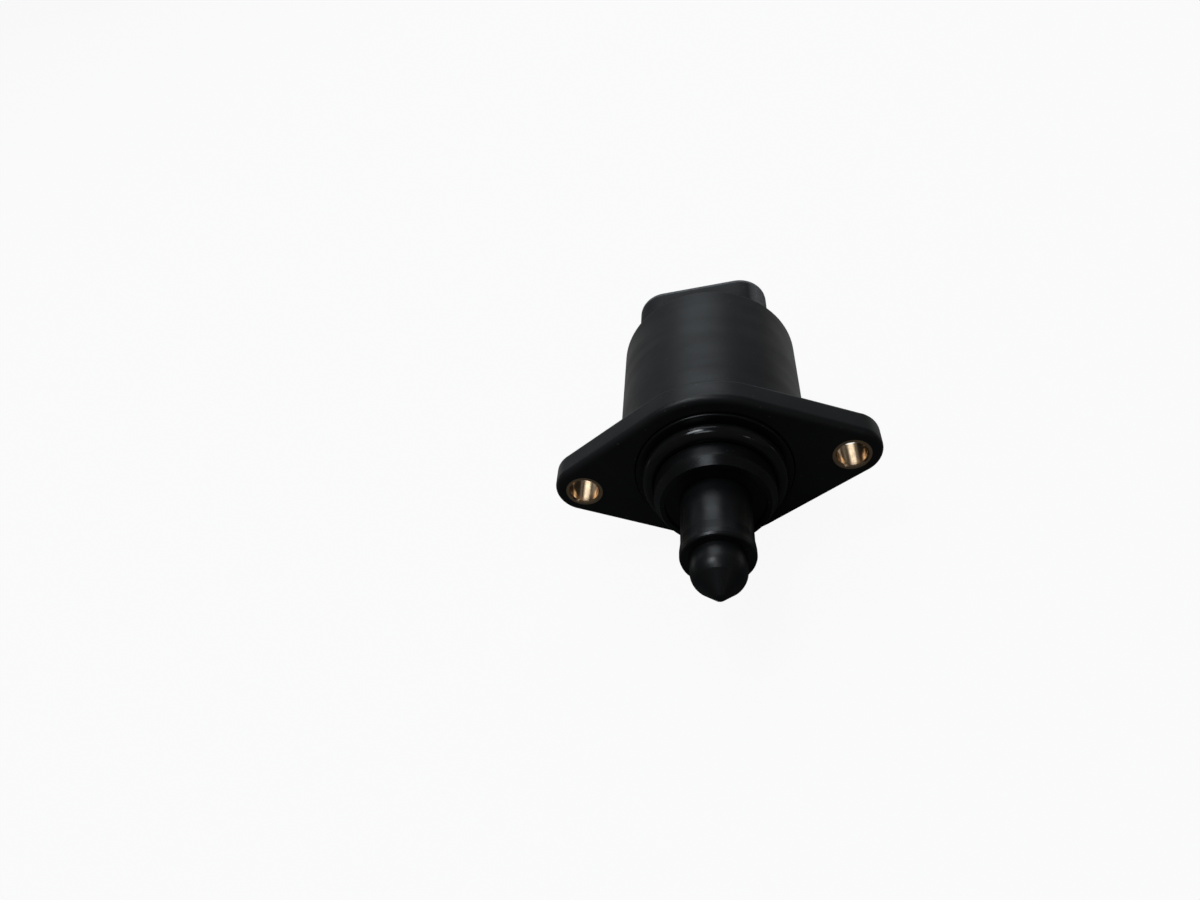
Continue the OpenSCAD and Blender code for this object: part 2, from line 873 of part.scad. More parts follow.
// Bobbin: core, two flanges and the outlet block beside the pole plate
module bobbin() {
    rear = sheet;
    front = stack_length - sheet;
    ring(bobbin_inner_r + bobbin_wall, bobbin_inner_r, rear, front);
    ring(bobbin_outer_r, bobbin_inner_r, rear, rear + bobbin_flange);
    ring(bobbin_outer_r, bobbin_inner_r, front - bobbin_flange, front);
    intersection() {
        ring(channel_r - free_gap, winding_outer_r + stator_gap, front - outlet_height, front);
        translate([-outlet_width / 2, 0, front - outlet_height])
            cube([outlet_width, body_r, outlet_height]);
    }
}

module winding() {
    end_layer = sheet + bobbin_flange;
    ring(winding_outer_r, bobbin_inner_r + bobbin_wall, end_layer, stack_length - end_layer);
}

// Puts a piece of a stack, drawn from its cup, into the rear or the front stack
module in_stack(front) {
    valve_frame()
        translate([0, 0, front ? stator_front_z : stator_rear_z])
            mirror([0, 0, front ? 1 : 0])
                children();
}

module front_stator_cup() {
    color("#9ea2a5")
        in_stack(true)
            stator_cup();
}

module rear_stator_cup() {
    color("#9ea2a5")
        in_stack(false)
            stator_cup();
}

module front_pole_plate() {
    color("#9ea2a5")
        in_stack(true)
            pole_plate();
}

module rear_pole_plate() {
    color("#9ea2a5")
        in_stack(false)
            pole_plate();
}

module front_bobbin() {
    color("#e4e1d5")
        in_stack(true)
            bobbin();
}

module rear_bobbin() {
    color("#e4e1d5")
        in_stack(false)
            bobbin();
}

module front_winding() {
    color("#b5652b")
        in_stack(true)
            winding();
}

module rear_winding() {
    color("#b5652b")
        in_stack(false)
            winding();
}

housing();
compression_bush(-1);  // left_bush
compression_bush(1);  // right_bush
terminal_pins();
front_cap();
o_ring();
guide_bush();
pintle_nose();
pintle_stem();
lead_screw();
thread_nut();
rotor_hub();
rotor_magnet();
bearing_inner_race();
bearing_outer_race();
bearing_balls();
bearing_cage();
spring_washer();
front_plate();
rear_plate();
rear_bush();
front_stator_cup();
front_pole_plate();
front_bobbin();
front_winding();
rear_stator_cup();
rear_pole_plate();
rear_bobbin();
rear_winding();
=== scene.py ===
# %% [markdown]
# # Idle air control valve
# The solids of the valve are ready, at their true size. This lesson gives them their looks in Blender:
# black glass-filled plastic, rubber, turned brass, steel and copper, with the fine forms that are
# too small for the solids, such as a screw thread and the turns of a coil.
# Everything is in metres, and the pintle points along -Y.

# %% Load the valve
import math

import bpy
import bmesh
from mathutils import Matrix, Vector


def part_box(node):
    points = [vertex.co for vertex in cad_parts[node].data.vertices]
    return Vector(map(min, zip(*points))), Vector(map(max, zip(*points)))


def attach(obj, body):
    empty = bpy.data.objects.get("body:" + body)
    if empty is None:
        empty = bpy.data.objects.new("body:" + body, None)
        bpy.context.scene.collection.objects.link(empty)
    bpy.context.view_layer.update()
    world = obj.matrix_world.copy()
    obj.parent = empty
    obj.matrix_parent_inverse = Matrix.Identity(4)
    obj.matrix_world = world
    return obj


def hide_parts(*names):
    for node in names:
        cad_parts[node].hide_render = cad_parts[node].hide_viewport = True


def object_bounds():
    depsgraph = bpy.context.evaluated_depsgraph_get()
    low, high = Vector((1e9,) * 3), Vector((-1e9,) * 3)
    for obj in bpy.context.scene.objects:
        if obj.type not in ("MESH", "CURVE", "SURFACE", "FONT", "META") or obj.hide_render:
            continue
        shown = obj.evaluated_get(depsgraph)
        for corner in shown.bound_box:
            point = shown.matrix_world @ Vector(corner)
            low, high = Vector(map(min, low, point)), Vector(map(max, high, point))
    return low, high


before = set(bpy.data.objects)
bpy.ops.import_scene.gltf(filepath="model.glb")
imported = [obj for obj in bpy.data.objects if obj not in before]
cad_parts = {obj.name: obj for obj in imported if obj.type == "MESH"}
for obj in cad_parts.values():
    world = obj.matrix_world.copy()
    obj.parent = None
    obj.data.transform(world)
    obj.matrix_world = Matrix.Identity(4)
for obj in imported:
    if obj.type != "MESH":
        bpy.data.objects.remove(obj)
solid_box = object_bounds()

mm = 0.001
print("nodes", len(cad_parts), "box in mm", [round((b - a) / mm, 1) for a, b in zip(*solid_box)])

# %% [markdown]
# ## Sums that run on a surface
# A finish is mostly arithmetic: a grain, times a mask, plus a scratch. Blender stores that as a net of
# small nodes. They could be placed one by one, but that is slow to write and hard to read. A small
# class that stands for a node's output lets the same sum be written as a Python expression, and each
# operator adds one Math node. The reflected forms are there so that 1 - mask works as well.

# %% A value that varies over a surface
class Signal:
    """The output of a node, ready for sums."""

    def __init__(self, net, socket):
        self.net = net
        self.socket = socket

    def sum_with(self, operation, first, second=0.0):
        return self.net.node("ShaderNodeMath", {"operation": operation}, {0: first, 1: second})

    def __add__(self, other):
        return self.sum_with("ADD", self, other)

    def __radd__(self, other):
        return self.sum_with("ADD", other, self)

    def __sub__(self, other):
        return self.sum_with("SUBTRACT", self, other)

    def __rsub__(self, other):
        return self.sum_with("SUBTRACT", other, self)

    def __mul__(self, other):
        return self.sum_with("MULTIPLY", self, other)

    def __rmul__(self, other):
        return self.sum_with("MULTIPLY", other, self)

    def __pow__(self, other):
        return self.sum_with("POWER", self, other)

    def size(self):
        """How far the value is from 0."""
        return self.sum_with("ABSOLUTE", self)

    def at_least(self, other):
        """The larger of two values."""
        return self.sum_with("MAXIMUM", self, other)

    def swing(self, width):
        """A value from 0 to 1 as one that swings round 0, by half of `width` to each side."""
        return (self - 0.5) * width


print("a signal can be added, subtracted, multiplied and raised to a power")

# %% [markdown]
# ## Nodes from one method
# Blender's own way takes a line to add a node, one for each of its settings and one for each link. One
# method can do all three. The settings come first, because they can change which sockets a node has,
# and then each socket takes a number, a colour or a link. The finishes, the floor and the world all
# need this, so it is a class of its own.

# %% The net class
class Net:
    """A net of shader nodes that grows one call at a time."""

    def __init__(self, tree):
        self.tree = tree

    def fill(self, socket, value):
        """Links a signal to a socket, or sets the socket's own number or colour."""
        if isinstance(value, Signal):
            self.tree.links.new(value.socket, socket)
        elif socket.type == "RGBA":
            socket.default_value = (*value, 1)
        else:
            socket.default_value = value

    def node(self, kind, settings=None, sockets=None, output=0):
        """Adds a node and returns one of its outputs."""
        added = self.tree.nodes.new(kind)
        for setting, value in (settings or {}).items():
            setattr(added, setting, value)
        for socket, value in (sockets or {}).items():
            self.fill(added.inputs[socket], value)
        return Signal(self, added.outputs[output])

    def ray(self, kind):
        """1 for the rays of one kind, such as Camera, and 0 for the others."""
        return self.node("ShaderNodeLightPath", output=f"Is {kind} Ray")


print("net class ready")

# %% [markdown]
# ## A finish and its patterns
# Each material starts from Blender's Principled shader. Its patterns could be painted on the unwrapped
# surface, but a painting shows its pixels up close. Here they are worked out from the object's own
# coordinates in millimetres, so they keep their real scale and stay on the piece when it moves.

# %% The finish class
class Finish(Net):
    """A material, even at first, and the patterns that can vary it."""

    def __init__(self, name, color, roughness, metallic=0.0, **fixed):
        self.material = bpy.data.materials.new(name)
        self.material.use_nodes = True
        super().__init__(self.material.node_tree)
        self.shader = self.tree.nodes["Principled BSDF"]
        self.feed(Base_Color=color, Roughness=roughness, Metallic=metallic, **fixed)
        place = self.node("ShaderNodeTexCoord", output="Object")
        self.place = self.node("ShaderNodeVectorMath", {"operation": "SCALE"}, {0: place, "Scale": 1 / mm})

    def feed(self, **values):
        """Fills the shader's sockets. A socket's name is written with _ for its spaces."""
        for socket, value in values.items():
            self.fill(self.shader.inputs[socket.replace("_", " ")], value)

    def axis(self, letter):
        """One coordinate of the surface, in millimetres."""
        return self.node("ShaderNodeSeparateXYZ", {}, {0: self.place}, output=letter)

    def noise(self, per_mm, detail=3, roughness=0.55, stretch=None, place=None):
        """Cloudy noise, from 0 to 1, with `per_mm` clouds to a millimetre."""
        place = place or self.place
        if stretch:
            place = self.node("ShaderNodeVectorMath", {"operation": "MULTIPLY"}, {0: place, 1: stretch})
        sockets = {"Vector": place, "Scale": per_mm, "Detail": detail, "Roughness": roughness}
        return self.node("ShaderNodeTexNoise", {}, sockets)

    def grains(self, per_mm):
        """Distance to the nearest of many scattered points, as a share of their spacing."""
        return self.node("ShaderNodeTexVoronoi", {}, {"Vector": self.place, "Scale": per_mm})

    def rise(self, signal, start, full):
        """0 up to `start`, 1 from `full` on, and even in between. It falls where `full` is the lower."""
        return self.node("ShaderNodeMapRange", {}, {"Value": signal, "From Min": start, "From Max": full})

    def spots(self, per_mm, radius):
        """Round spots at scattered points: 1 in the middle, 0 from `radius` millimetres on."""
        return self.rise(self.grains(per_mm), radius * per_mm, 0.0)

    def blend(self, share, first, second):
        """A colour between two colours, on the colour sockets of a Mix node."""
        factor, color_a, color_b, color_out = 0, 6, 7, 2
        sockets = {factor: share, color_a: first, color_b: second}
        return self.node("ShaderNodeMix", {"data_type": "RGBA"}, sockets, output=color_out)

    def relief(self, height, depth, before=None):
        """A bump whose full height is `depth` millimetres, on top of the one before."""
        sockets = {"Height": height, "Distance": depth * mm, "Strength": 1.0}
        if before:
            sockets["Normal"] = before
        return self.node("ShaderNodeBump", {}, sockets)


def shade(color, factor):
    """The same hue, lighter or darker."""
    return tuple(min(1, c * factor) for c in color)


print("finish class ready")

# %% [markdown]
# ## Duller plastic and a painted highlight on the connector shroud
# The shroud at the rear is duller than the body. The edge of its rim and its right end are painted pale,
# a painted highlight where the rounded plastic catches the light. Such a place is often found by how sharp
# an edge is, but that depends on how fine the mesh is. Ramps along the axes pick out the two places here,
# and the distance to the middle line of the oval keeps the painted highlight on the outside of the wall.

# %% Haze and painted highlight of the shroud
shroud_y = 34.8
shroud_fade = 1.0
shroud_haze = 0.2
rim_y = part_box("housing")[1][1] / mm
rim_width = 1.3
rim_fade = 0.3
oval_end_x = 7.7
oval_z = 6.7
highlight_from_r = 5.25
highlight_full_r = 5.77
highlight_from_x = 10.4
highlight_full_x = 11.8
breakups_per_mm = 2.2
least_highlight = 0.55
# The pale grey of the painted highlight on the shroud.
highlight_grey = (0.160, 0.164, 0.172)


def dull_shroud_paint_highlight(finish, surface, dullness):
    """Makes the shroud duller, and paints a pale highlight on the outer edge of its rim and on its right
    end.
    """
    along = finish.axis("Y")
    across = finish.axis("X")
    on_shroud = finish.rise(along, shroud_y, shroud_y + shroud_fade)
    rim = finish.rise(along, rim_y - rim_width, rim_y - rim_width + rim_fade)
    end = finish.rise(across, highlight_from_x, highlight_full_x) * on_shroud
    past_straight = (across.size() - oval_end_x).at_least(0.0)
    from_middle = (past_straight ** 2 + (finish.axis("Z") - oval_z) ** 2) ** 0.5
    outside = finish.rise(from_middle, highlight_from_r, highlight_full_r)
    highlight_breakup = finish.rise(finish.noise(breakups_per_mm, detail=4), start=0.35, full=0.62)
    # Painted highlight: pale grey laid in patches on the outer rim edge and the right end, where the
    # rounded plastic catches the light.
    painted_highlight = (rim + end) * outside * (least_highlight + highlight_breakup * (1 - least_highlight))
    return finish.blend(painted_highlight, surface, highlight_grey), dullness + on_shroud * shroud_haze


print("shroud from y =", shroud_y, "to", round(rim_y, 1), "mm")

# %% [markdown]
# ## Black glass-filled plastic
# The housing, cap, guide and pintle are moulded nylon full of short glass fibres. One flat black would
# be the quick way, but such plastic is never even: the fibres leave a fine grain, clouds of lighter
# bloom and faint bands where the melt flowed. A grain as bump, clouds in colour and roughness, and
# bands along the valve give those three. The photograph also shows light specks of dust on the body.
# They are small spots round scattered points, and their colour is the only thing that changes there.

# %% Moulded black plastic
bloom = 0.35
cloud_tone = 0.6
band_tone = 0.4
bands_per_mm = 0.22
band_stretch = (0.12, 1, 0.12)
grains_per_mm = 7.5
pits_per_mm = 3.2
pit_radius = 0.05
pit_share = 0.2
grain_gloss = 0.12
cloud_gloss = 0.06
band_gloss = 0.30
specks_per_mm = 0.40
speck_radius = 0.20
dust_grey = (0.075, 0.077, 0.080)


def moulded_plastic(name, color, roughness, grain_depth, clouds_per_mm=0.14, dust=0.5, haze_and_highlight=None):
    finish = Finish(name, color, roughness)
    clouds = finish.rise(finish.noise(clouds_per_mm, detail=5), start=0.32, full=0.72)
    bands = finish.noise(bands_per_mm, detail=2, stretch=band_stretch)
    grain = finish.noise(grains_per_mm, roughness=0.7)
    tone = clouds * cloud_tone + bands * band_tone
    bloomed = finish.blend(tone, shade(color, 1 - bloom), shade(color, 1 + bloom))
    specks = finish.spots(specks_per_mm, speck_radius) * dust
    surface = finish.blend(specks, bloomed, dust_grey)
    dullness = roughness + grain.swing(grain_gloss) - clouds.swing(cloud_gloss) - bands.swing(band_gloss)
    if haze_and_highlight:
        surface, dullness = haze_and_highlight(finish, surface, dullness)
    height = grain * (1 - pit_share) + (1 - finish.spots(pits_per_mm, pit_radius)) * pit_share
    finish.feed(Base_Color=surface, Roughness=dullness, Normal=finish.relief(height, grain_depth))
    return finish


housing_black = (0.0075, 0.0078, 0.0086)
housing_plastic = moulded_plastic("housing_plastic", housing_black, 0.42, 0.012, dust=1.0, haze_and_highlight=dull_shroud_paint_highlight)
cap_plastic = moulded_plastic("cap_plastic", (0.0042, 0.0044, 0.0048), 0.29, 0.006)
guide_plastic = moulded_plastic("guide_plastic", (0.0030, 0.0031, 0.0034), 0.42, 0.006)
pintle_plastic = moulded_plastic("pintle_plastic", (0.0062, 0.0065, 0.0072), 0.35, 0.008, clouds_per_mm=0.3)
print("four plastics made, with a dust speck every", 1 / specks_per_mm, "mm or so")

# %% [markdown]
# ## Rubber of the O-ring
# The ring is oiled nitrile rubber, the glossiest black on the valve: two sharp highlights sit on it in
# the photograph. Its mould leaves a thin line round the outside, half way along its width. The line
# could be modelled, but it stands out by a fiftieth of a millimetre, so bump is enough. It is a narrow
# peak over the Y coordinate, and so it follows the ring all the way round.

# %% Oiled rubber
ring_low, ring_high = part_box("o_ring")
ring_middle = (ring_low[1] + ring_high[1]) / 2 / mm
line_width = 0.09
line_height = 0.02
line_gloss = 0.15
skin_per_mm = 1.6
skin_depth = 0.006
smears_per_mm = 0.35
smear_gloss = 0.10
smear_tone = 1.5


def oiled_rubber(name, color, roughness):
    finish = Finish(name, color, roughness, Specular_IOR_Level=0.55)
    skin = finish.noise(skin_per_mm, detail=2)
    smear = finish.rise(finish.noise(smears_per_mm), start=0.4, full=0.75)
    line = finish.rise((finish.axis("Y") - ring_middle).size(), line_width, 0.0)
    finish.feed(
        Base_Color=finish.blend(smear, color, shade(color, smear_tone)),
        Roughness=roughness + smear * smear_gloss + line * line_gloss,
        Normal=finish.relief(line, line_height, before=finish.relief(skin, skin_depth)),
    )
    return finish


seal_rubber = oiled_rubber("seal_rubber", (0.0060, 0.0060, 0.0064), 0.12)
print("rubber made, mould line at y =", round(ring_middle, 2), "mm")

# %% [markdown]
# ## Turned metal
# A lathe leaves fine grooves round the axis of a piece: rings on its faces and threads of light round
# its bores. A shader's own anisotropy could stretch the highlights, but it shows no single groove. One
# noise that reads only the distance to the axis and the place along it gives both, because it can't
# change round the piece. The bushes sit at two axes, one each side of the valve, and the size of X
# takes both at once.

# %% Turned brass and steel
grooves_per_mm = 9.0
groove_gloss = 0.10
stains_per_mm = 0.5
stain_gloss = 0.10


def turned_metal(name, color, roughness, groove_depth, axis_x=0.0, tarnish=0.25):
    finish = Finish(name, color, roughness, metallic=1.0)
    across = finish.axis("X").size() - axis_x
    radius = (across * across + finish.axis("Z") ** 2) ** 0.5
    turning = finish.node("ShaderNodeCombineXYZ", {}, {"X": radius, "Y": finish.axis("Y")})
    grooves = finish.noise(grooves_per_mm, detail=4, roughness=0.6, place=turning)
    stain = finish.rise(finish.noise(stains_per_mm, detail=4), start=0.38, full=0.72)
    finish.feed(
        Base_Color=finish.blend(stain, color, shade(color, 1 - tarnish)),
        Roughness=roughness + stain * stain_gloss + grooves.swing(groove_gloss),
        Normal=finish.relief(grooves, groove_depth),
    )
    return finish


bush_x = (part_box("right_bush")[0][0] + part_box("right_bush")[1][0]) / 2 / mm
bush_brass = turned_metal("bush_brass", (0.92, 0.65, 0.41), 0.16, 0.010, axis_x=bush_x, tarnish=0.2)
nut_bronze = turned_metal("nut_bronze", (0.55, 0.36, 0.17), 0.34, 0.010)
cage_brass = turned_metal("cage_brass", (0.66, 0.50, 0.24), 0.30, 0.008)
screw_steel = turned_metal("screw_steel", (0.56, 0.57, 0.58), 0.22, 0.006)
bearing_steel = turned_metal("bearing_steel", (0.66, 0.67, 0.68), 0.10, 0.002, tarnish=0.08)
print("bush axes at x =", round(bush_x, 2), "mm and its mirror image")

# %% [markdown]
# ## Sheet steel, tin and the inner plastics
# The stator is pressed from zinc-plated sheet, whose crystals show as a faint patchwork. The pins are
# dull tin, the bobbins and the rotor hub are uncoloured nylon, and the magnet is sintered powder.
# The housing hides most of them, so one plain finish for all would do from outside. The valve can be
# opened up though, so each gets its own grain, with fewer nodes than the outside has.

# %% Inner finishes
crystal_gloss = 0.12
powder_gloss = 0.15
fine_gloss = 0.10


def plated_sheet(name, color, roughness):
    finish = Finish(name, color, roughness, metallic=1.0)
    crystals = finish.grains(per_mm=1.4)
    rolling = finish.noise(per_mm=3.0, stretch=(1, 0.08, 1))
    finish.feed(
        Base_Color=finish.blend(crystals, color, shade(color, 0.75)),
        Roughness=roughness + crystals * crystal_gloss + rolling.swing(fine_gloss),
        Normal=finish.relief(rolling, depth=0.005),
    )
    return finish


def sintered(name, color, roughness):
    finish = Finish(name, color, roughness, metallic=0.3)
    powder = finish.grains(per_mm=6.0)
    patches = finish.noise(per_mm=0.8, detail=4)
    finish.feed(
        Base_Color=finish.blend(patches, shade(color, 0.7), shade(color, 1.3)),
        Roughness=roughness + powder * powder_gloss,
        Normal=finish.relief(powder, depth=0.012),
    )
    return finish


def natural_nylon(name, color, roughness):
    finish = Finish(name, color, roughness, Subsurface_Weight=0.05)
    clouds = finish.noise(per_mm=0.4, detail=4)
    grain = finish.noise(per_mm=8.0, detail=2)
    finish.feed(
        Base_Color=finish.blend(clouds, shade(color, 0.88), color),
        Roughness=roughness + grain.swing(fine_gloss),
        Normal=finish.relief(grain, depth=0.006),
    )
    return finish


plate_steel = plated_sheet("plate_steel", (0.52, 0.53, 0.55), 0.30)
spring_steel = plated_sheet("spring_steel", (0.33, 0.35, 0.40), 0.26)
pin_tin = plated_sheet("pin_tin", (0.70, 0.70, 0.67), 0.28)
magnet_ferrite = sintered("magnet_ferrite", (0.045, 0.042, 0.040), 0.55)
hub_plastic = natural_nylon("hub_plastic", (0.62, 0.59, 0.50), 0.42)
bobbin_plastic = natural_nylon("bobbin_plastic", (0.68, 0.66, 0.58), 0.40)
print("materials so far:", len(bpy.data.materials))

# %% [markdown]
# ## Dressing the solids
# Most pieces already have their true shape, so they only need a finish. It could be set piece by piece.
# A list that pairs each finish with its nodes shows at a glance what the real pieces are made of, and
# one loop swaps the materials.

# %% Give each node its finish
dress = {
    housing_plastic: ["housing"],
    cap_plastic: ["front_cap"],
    guide_plastic: ["guide_bush"],
    pintle_plastic: ["pintle_stem", "pintle_nose"],
    seal_rubber: ["o_ring"],
    bush_brass: ["left_bush", "right_bush"],
    pin_tin: ["terminal_pins"],
    screw_steel: ["lead_screw"],
    nut_bronze: ["thread_nut", "rear_bush"],
    cage_brass: ["bearing_cage"],
    bearing_steel: ["bearing_inner_race", "bearing_outer_race", "bearing_balls"],
    spring_steel: ["spring_washer"],
    plate_steel: ["front_plate", "rear_plate", "front_stator_cup", "front_pole_plate",
                  "rear_stator_cup", "rear_pole_plate"],
    magnet_ferrite: ["rotor_magnet"],
    hub_plastic: ["rotor_hub"],
    bobbin_plastic: ["front_bobbin", "rear_bobbin"],
}
for finish, names in dress.items():
    for name in names:
        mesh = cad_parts[name].data
        mesh.materials.clear()
        mesh.materials.append(finish.material)
dressed = {name for names in dress.values() for name in names}
print(len(dressed), "nodes dressed, left:", sorted(set(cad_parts) - dressed))

# %% [markdown]
# ## A grid skin for turned and wound pieces
# A thread and a coil are both a tube whose radius changes as it goes round and along. A Screw modifier
# could sweep each from a profile, but it can't let a thread fade out at its ends. One function lays a
# grid of points over such a tube, closes it, and leaves the radius to whoever calls it. Writing the
# mesh directly also keeps the count of faces known.

# %% A skin round the axis of the valve
def grid_skin(name, finish, body, stations, sides, point, closed=False):
    """A skin of rings, one for each station. point(station, turn) gives (radius, place along -Y) in mm."""
    mesh = bpy.data.meshes.new(name)
    build = bmesh.new()
    rings = []
    for station in stations:
        ring = []
        for side in range(sides):
            turn = side / sides
            radius, reach = point(station, turn)
            angle = turn * 2 * math.pi
            place = (radius * mm * math.cos(angle), -reach * mm, radius * mm * math.sin(angle))
            ring.append(build.verts.new(place))
        rings.append(ring)
    pairs = list(zip(rings, rings[1:]))
    if closed:
        pairs.append((rings[-1], rings[0]))
    for here, there in pairs:
        for side in range(sides):
            after = (side + 1) % sides
            build.faces.new((here[side], here[after], there[after], there[side]))
    if not closed:
        build.faces.new(rings[0])
        build.faces.new(list(reversed(rings[-1])))
    bmesh.ops.recalc_face_normals(build, faces=build.faces)
    build.to_mesh(mesh)
    build.free()
    mesh.polygons.foreach_set("use_smooth", [True] * len(mesh.polygons))
    mesh.materials.append(finish.material)
    piece = bpy.data.objects.new(name, mesh)
    bpy.context.scene.collection.objects.link(piece)
    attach(piece, body)
    return piece


def smooth_step(x):
    """0 below 0, 1 above 1, and a soft S between."""
    x = max(0.0, min(1.0, x))
    return x * x * (3 - 2 * x)


print("grid skin ready")

# %% [markdown]
# ## The thread of the lead screw
# The solid screw is a plain bar, because a thread of 1 mm pitch is too fine for it. Bump could only
# draw one, and its outline would stay straight, so here the bar gets its real thread. The radius
# follows a V with a flat crest and root, and the V moves along by one pitch a turn. A right-hand thread
# that is seen from its end goes away clockwise. The thread fades out towards both ends, and the plain
# neck and the head that the stem is moulded round stay as they are.

# %% Cut the thread
pitch = 1.0
thread_depth = 0.55
crest_share = 0.14
screw_r = 2.0
head_r = 3.2
stub_length = 2.5
head_length = 2.0
neck_length = 3.5
rear_fade = 0.4
screw_chamfer = 0.4
rings_to_pitch = 14
screw_sides = 48
screw_low, screw_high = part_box("lead_screw")
screw_front = -screw_low[1] / mm
screw_rear = -screw_high[1] / mm
head_front = screw_front - stub_length
head_rear = head_front - head_length
thread_front = head_rear - neck_length


def thread_radius(reach, turn):
    """Radius of the screw at a place along it, for a share of a turn."""
    phase = (reach / pitch - turn) % 1.0
    rise = abs(2 * phase - 1)
    slope = (rise - crest_share) / (1 - 2 * crest_share)
    groove = thread_depth * (1 - max(0.0, min(1.0, slope)))
    from_rear = reach - screw_rear
    fade = smooth_step((thread_front - reach) / pitch) * smooth_step(from_rear / rear_fade)
    chamfer = max(0.0, screw_chamfer - from_rear)
    return screw_r - max(groove * fade, chamfer)


def screw_point(station, turn):
    """A station says how far along the screw it is, and whether it is on the head."""
    reach, on_head = station
    return (head_r if on_head else thread_radius(reach, turn)), reach


threaded_rings = int((thread_front - screw_rear) / pitch * rings_to_pitch)
stations = [(screw_rear + k * pitch / rings_to_pitch, False) for k in range(threaded_rings + 1)]
stations += [(head_rear, False), (head_rear, True)]
stations += [(head_front, True), (head_front, False), (screw_front, False)]
lead_screw_thread = grid_skin(
    "lead_screw_thread", screw_steel, "pintle", stations, screw_sides, screw_point
)
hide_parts("lead_screw")
thread_turns = (thread_front - screw_rear) / pitch
print("lead screw:", len(lead_screw_thread.data.polygons), "faces,", round(thread_turns, 1), "turns")

# %% [markdown]
# ## The wire of the coils
# Each coil is some hundreds of turns of copper wire under a clear enamel. The enamel could be a second
# shell over the wire, but it is far thinner than any mesh should be, so the shader's coat stands for
# it. The colour drifts along the wire, as the enamel gets thicker and thinner.

# %% Enamelled wire
drift_gloss = 0.12


def enamelled_wire(name, color, roughness):
    finish = Finish(name, color, roughness, metallic=0.85, Coat_Weight=0.6, Coat_Roughness=0.12)
    drift = finish.noise(per_mm=0.7, detail=4, stretch=(1, 0.4, 1))
    skin = finish.noise(per_mm=5.0, detail=2)
    finish.feed(
        Base_Color=finish.blend(drift, shade(color, 0.8), shade(color, 1.2)),
        Roughness=roughness + drift.swing(drift_gloss),
        Normal=finish.relief(skin, depth=0.004),
    )
    return finish


winding_copper = enamelled_wire("winding_copper", (0.62, 0.24, 0.10), 0.28)
print("wire finish made")

# %% [markdown]
# ## The turns of the coils
# The wire is wound in even layers. It could be one long curve with a round section, but only the outer
# layer can ever be seen. So the ring keeps its plain inside and gets a scalloped outside, one bulge to
# a turn. The bulges lean along by one wire to each turn, as a real winding does.

# %% Wind the coils
wire_d = 0.42
points_to_wire = 6
coil_sides = 96
coil_clearance = 0.02
winding_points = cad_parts["front_winding"].data.vertices
coil_inner_r = min(math.hypot(v.co.x, v.co.z) for v in winding_points) / mm


def wind_coil(node):
    """Replaces the plain ring of a coil by one with a bulge for each outer wire."""
    low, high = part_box(node)
    outer_r = high[0] / mm
    rear = -high[1] / mm
    front = -low[1] / mm
    turns = int((front - rear) / wire_d)
    wire = (front - rear) / turns
    lanes = turns * points_to_wire

    def coil_point(station, turn):
        lane, inside = station
        reach = rear + (front - rear) * lane / lanes
        if inside:
            return coil_inner_r, reach
        phase = (lane / points_to_wire - turn) % 1.0
        bulge = math.sqrt(max(0.0, 1 - (2 * phase - 1) ** 2))
        return outer_r - coil_clearance - wire / 2 * (1 - bulge), reach

    stations = [(0, True)] + [(lane, False) for lane in range(lanes + 1)] + [(lanes, True)]
    coil = grid_skin(
        node + "_turns", winding_copper, "valve_body", stations, coil_sides, coil_point,
        closed=True,
    )
    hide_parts(node)
    print(node, turns, "turns in the outer layer,", len(coil.data.polygons), "faces")


for node in ("front_winding", "rear_winding"):
    wind_coil(node)

# %% [markdown]
# ## Floor and background
# The valve lies on its side. The camera sees a white paper floor, most of it plain white as in the
# photograph and the rest lit, so that it keeps a soft shadow. A bright lamp could make it white too,
# but would wash out the valve. Mirror rays see ever more of the paper from the flange backwards, where
# it brightens the edges of the body. The flange face mirrors the ground before it, and there the
# photograph is nearly black. So that ground is dark to mirror rays, and the whole floor is dark to
# light that bounces.

# %% Floor
floor_z = solid_box[0][2]
floor_half = 3.0
corner_signs = [(-1, -1), (1, -1), (1, 1), (-1, 1)]
corners = [(x * floor_half, y * floor_half, floor_z) for x, y in corner_signs]
floor_mesh = bpy.data.meshes.new("floor")
floor_mesh.from_pydata(corners, [], [(0, 1, 2, 3)])
floor = bpy.data.objects.new("floor", floor_mesh)
bpy.context.scene.collection.objects.link(floor)

white = (1, 1, 1)
white_share = 0.93
mirror_share = 0.28
mirror_starts_y = 5
mirror_full_y = 40
paper_white = 0.80
paper_drift = 0.01
ground_dark = 0.08
floor_finish = Finish("floor_paper", (paper_white,) * 3, 0.75)
clouds = floor_finish.noise(per_mm=0.05)
paper_low = (paper_white - paper_drift,) * 3
paper_high = (paper_white + paper_drift,) * 3
floor_finish.feed(Base_Color=floor_finish.blend(clouds, paper_low, paper_high))
lit_paper = Signal(floor_finish, floor_finish.shader.outputs[0])
glow = floor_finish.node("ShaderNodeEmission", {}, {"Color": white, "Strength": 1.0})
bright = floor_finish.node("ShaderNodeMixShader", {}, {0: white_share, 1: lit_paper, 2: glow})
dark = floor_finish.node("ShaderNodeBsdfDiffuse", {}, {"Color": (ground_dark,) * 3})
mirrored = floor_finish.rise(floor_finish.axis("Y"), mirror_starts_y, mirror_full_y) * mirror_share
straight = floor_finish.ray("Camera") + floor_finish.ray("Transmission")
shown = straight.at_least(floor_finish.ray("Glossy") * mirrored)
seen = floor_finish.node("ShaderNodeMixShader", {}, {0: shown, 1: dark, 2: bright})
surface_out = next(n for n in floor_finish.tree.nodes if n.type == "OUTPUT_MATERIAL")
floor_finish.fill(surface_out.inputs["Surface"], seen)
floor_mesh.materials.append(floor_finish.material)
print("floor at z =", round(floor_z / mm, 1), "mm")

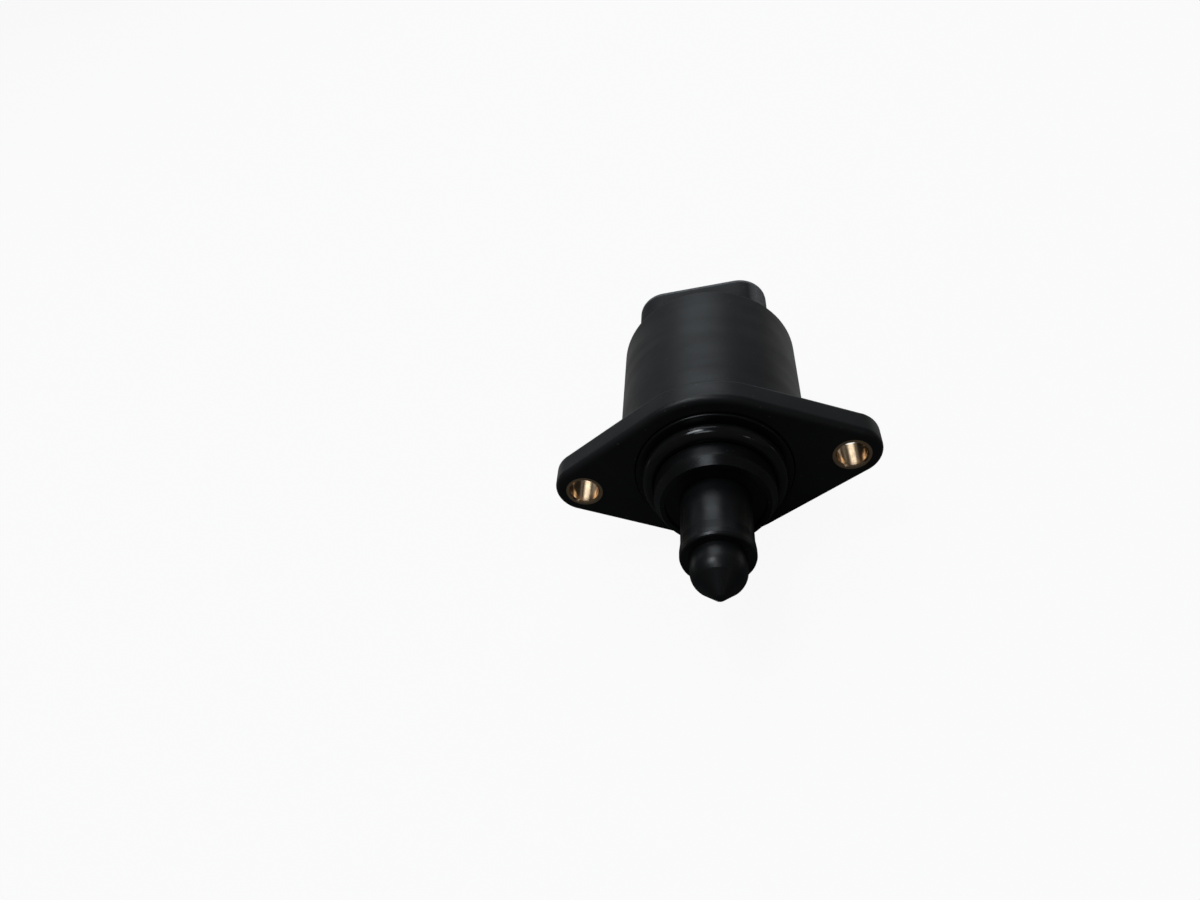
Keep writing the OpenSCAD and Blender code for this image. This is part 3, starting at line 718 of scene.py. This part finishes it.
# %% [markdown]
# ## Lamps
# The highlights in the photograph tell where its light came from. The body and the flange edge mirror a
# broad bright wall behind the valve, from the horizon to high up. The stem and the nose carry a band
# from a lamp overhead, a little to the left, and the cone of the neck catches one high in front. The
# O-ring shows one spot of a small lamp in the ceiling and a fainter one of a lamp low at the right.
# A picture of a room round the valve could give all that, but each light is easier to place and to
# weigh as a soft area lamp of its own that looks at the valve.

# %% Lamps
near_distance = 0.8
lamp_distance = 0.9
cool_white = (0.86, 0.94, 1.0)


def lamp(name, azimuth, elevation, size, power, distance=lamp_distance, tint=white):
    """A soft rectangular lamp. Azimuth 0 is behind the valve and 90 is at its right; sizes in metres."""
    light = bpy.data.lights.new(name, "AREA")
    light.shape = "RECTANGLE"
    light.size, light.size_y = size
    light.energy = power
    light.color = tint
    holder = bpy.data.objects.new(name, light)
    bpy.context.scene.collection.objects.link(holder)
    turn, rise = math.radians(azimuth), math.radians(elevation)
    toward = Vector((math.sin(turn) * math.cos(rise), math.cos(turn) * math.cos(rise), math.sin(rise)))
    holder.location = toward * distance
    holder.rotation_euler = toward.to_track_quat("Z", "Y").to_euler()


lamp("wall_low", azimuth=-6, elevation=18, size=(1.6, 0.45), power=0.50, tint=cool_white)
lamp("wall_middle", azimuth=0, elevation=36, size=(0.5, 0.3), power=0.29, tint=cool_white)
lamp("wall_high", azimuth=-8, elevation=52, size=(0.5, 0.4), power=0.82, tint=cool_white)
lamp("overhead", azimuth=-90, elevation=75, size=(0.3, 0.3), power=1.48, tint=cool_white)
lamp("ceiling_lamp", azimuth=-55, elevation=75, size=(0.14, 0.14), power=0.42)
lamp("front_high", azimuth=-168, elevation=66, size=(0.3, 0.2), power=0.53, tint=cool_white)
lamp("small_lamp", azimuth=131, elevation=25, size=(0.05, 0.05), power=0.03, distance=near_distance)
print(len(bpy.data.lights), "lamps")

# %% [markdown]
# ## World
# Past the floor, the camera has to see white. A plain white world would do that, but this black plastic
# would mirror it as grey, and the photograph is nearly black there. So the world is white only to rays
# that come straight from the camera or through something clear. The room that lights the valve is dim,
# and dimmer still to mirror rays.

# %% World
room_level = 0.16
mirror_level = 0.05
world = bpy.data.worlds.new("studio")
bpy.context.scene.world = world
world.use_nodes = True
sky = Net(world.node_tree)
room = room_level + sky.ray("Glossy") * (mirror_level - room_level)
strength = sky.ray("Camera").at_least(sky.ray("Transmission")).at_least(room)
background = sky.tree.nodes["Background"]
sky.fill(background.inputs["Strength"], strength)
sky.fill(background.inputs["Color"], white)
print("room level", room_level, "and to mirror rays", mirror_level)

# %% [markdown]
# ## Camera
# A camera could be moved by hand until the picture looks right, but every error in it would end up in
# the shape. The place and the direction of this one come from a fit of the valve's outline to the
# photograph. They are given as a place in millimetres and as two directions, to the right and up in
# the picture. The lens follows from the focal length in pixels of the 1200 pixel wide picture.

# %% Camera
picture_width = 1200
sensor_width = 36.0
focal_pixels = 901.5
nearest_seen = 0.005
camera_place = Vector((14.98, -123.21, 114.37)) * mm
camera_right = Vector((0.9676, 0.0632, -0.2443)).normalized()
camera_up = Vector((0.1422, 0.6635, 0.7346))
camera_back = camera_right.cross(camera_up).normalized()
camera_up = camera_back.cross(camera_right)

camera_data = bpy.data.cameras.new("camera")
camera_data.sensor_width = sensor_width
camera_data.lens = focal_pixels / picture_width * sensor_width
camera_data.clip_start = nearest_seen
camera = bpy.data.objects.new("camera", camera_data)
bpy.context.scene.collection.objects.link(camera)
turned = Matrix((camera_right, camera_up, camera_back)).transposed().to_4x4()
camera.matrix_world = Matrix.Translation(camera_place) @ turned
bpy.context.scene.camera = camera
bpy.context.scene.view_settings.view_transform = "Standard"
print("lens", round(camera_data.lens, 2), "mm at", [round(c / mm) for c in camera_place])
